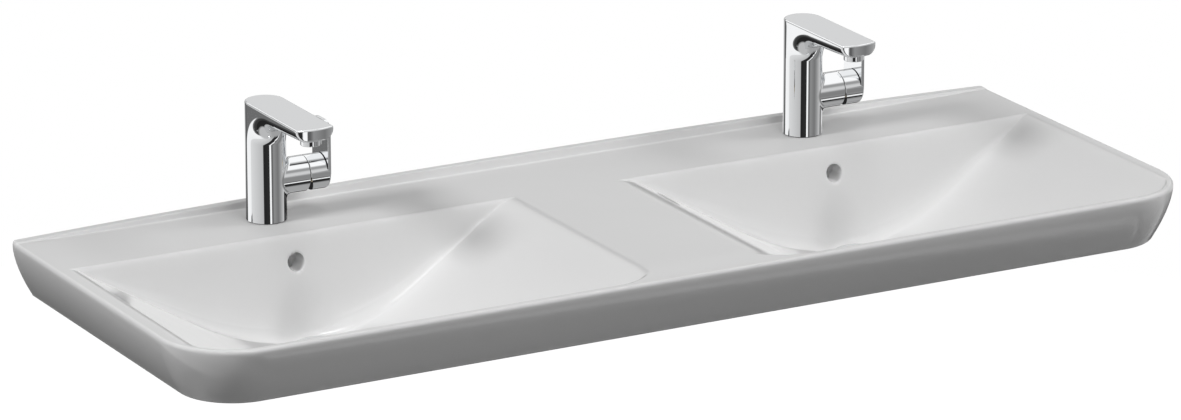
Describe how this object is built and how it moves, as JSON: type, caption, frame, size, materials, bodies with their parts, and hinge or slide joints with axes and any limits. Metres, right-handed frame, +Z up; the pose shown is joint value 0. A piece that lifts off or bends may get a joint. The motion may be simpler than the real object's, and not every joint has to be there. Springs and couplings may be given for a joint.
{
  "type": "double washbasin",
  "caption": "Wall-hung ceramic washbasin for side-by-side users: scooped bowls in one body, side-lever mixers and push-open wastes.",
  "frame": {"origin": "middle of the wall face at rim level", "axes": "+X along the wall to the user's right, +Y into the wall, +Z up"},
  "size_m": [1.3, 0.485, 0.295],
  "materials": {
    "ceramic": "high gloss white glaze",
    "chrome": "polished",
    "white_plastic": "moulded",
    "rubber": "moulded",
    "steel": "zinc plated",
    "brass": "machined"
  },
  "bodies": {
    "basin": {"ceramic_basin": "ceramic", "wall_sleeves": "white_plastic", "wall_washers": "steel", "wall_nuts": "steel", "left_tap_body": "chrome", "left_base_gasket": "rubber", "left_cartridge": "white_plastic", "left_cartridge_nut": "brass", "left_aerator_housing": "chrome", "left_aerator_insert": "white_plastic", "left_clamp_rubber": "rubber", "left_clamp_plate": "steel", "left_studs": "steel", "left_stud_nuts": "steel", "left_flange_seal": "rubber", "left_waste_body": "chrome", "left_under_seal": "rubber", "left_waste_nut": "brass", "left_plug_guide": "white_plastic", "right_tap_body": "chrome", "right_base_gasket": "rubber", "right_cartridge": "white_plastic", "right_cartridge_nut": "brass", "right_aerator_housing": "chrome", "right_aerator_insert": "white_plastic", "right_clamp_rubber": "rubber", "right_clamp_plate": "steel", "right_studs": "steel", "right_stud_nuts": "steel", "right_flange_seal": "rubber", "right_waste_body": "chrome", "right_under_seal": "rubber", "right_waste_nut": "brass", "right_plug_guide": "white_plastic"},
    "left_mixing": {"left_stem_carrier": "white_plastic", "left_lever_pin": "steel"},
    "left_handle": {"left_lever_stem": "steel", "left_lever": "chrome", "left_lever_screw": "steel"},
    "left_stopper": {"left_plug": "chrome", "left_plug_seal": "rubber"},
    "right_mixing": {"right_stem_carrier": "white_plastic", "right_lever_pin": "steel"},
    "right_handle": {"right_lever_stem": "steel", "right_lever": "chrome", "right_lever_screw": "steel"},
    "right_stopper": {"right_plug": "chrome", "right_plug_seal": "rubber"}
  },
  "joints": [
    {"name": "left_temperature", "type": "hinge", "parent": "basin", "child": "left_mixing", "pos_m": [-0.322, -0.063, 0.048], "axis": [1, 0, 0], "range_deg": [-45, 45]},
    {"name": "left_flow", "type": "hinge", "parent": "left_mixing", "child": "left_handle", "pos_m": [-0.322, -0.063, 0.048], "axis": [0, 1, 0], "range_deg": [0, 15]},
    {"name": "left_plug_lift", "type": "slide", "parent": "basin", "child": "left_stopper", "axis": [0, 0, 1], "range_m": [0, 0.008]},
    {"name": "right_temperature", "type": "hinge", "parent": "basin", "child": "right_mixing", "pos_m": [0.392, -0.063, 0.048], "axis": [1, 0, 0], "range_deg": [-45, 45]},
    {"name": "right_flow", "type": "hinge", "parent": "right_mixing", "child": "right_handle", "pos_m": [0.392, -0.063, 0.048], "axis": [0, 1, 0], "range_deg": [0, 15]},
    {"name": "right_plug_lift", "type": "slide", "parent": "basin", "child": "right_stopper", "axis": [0, 0, 1], "range_m": [0, 0.008]}
  ]
}
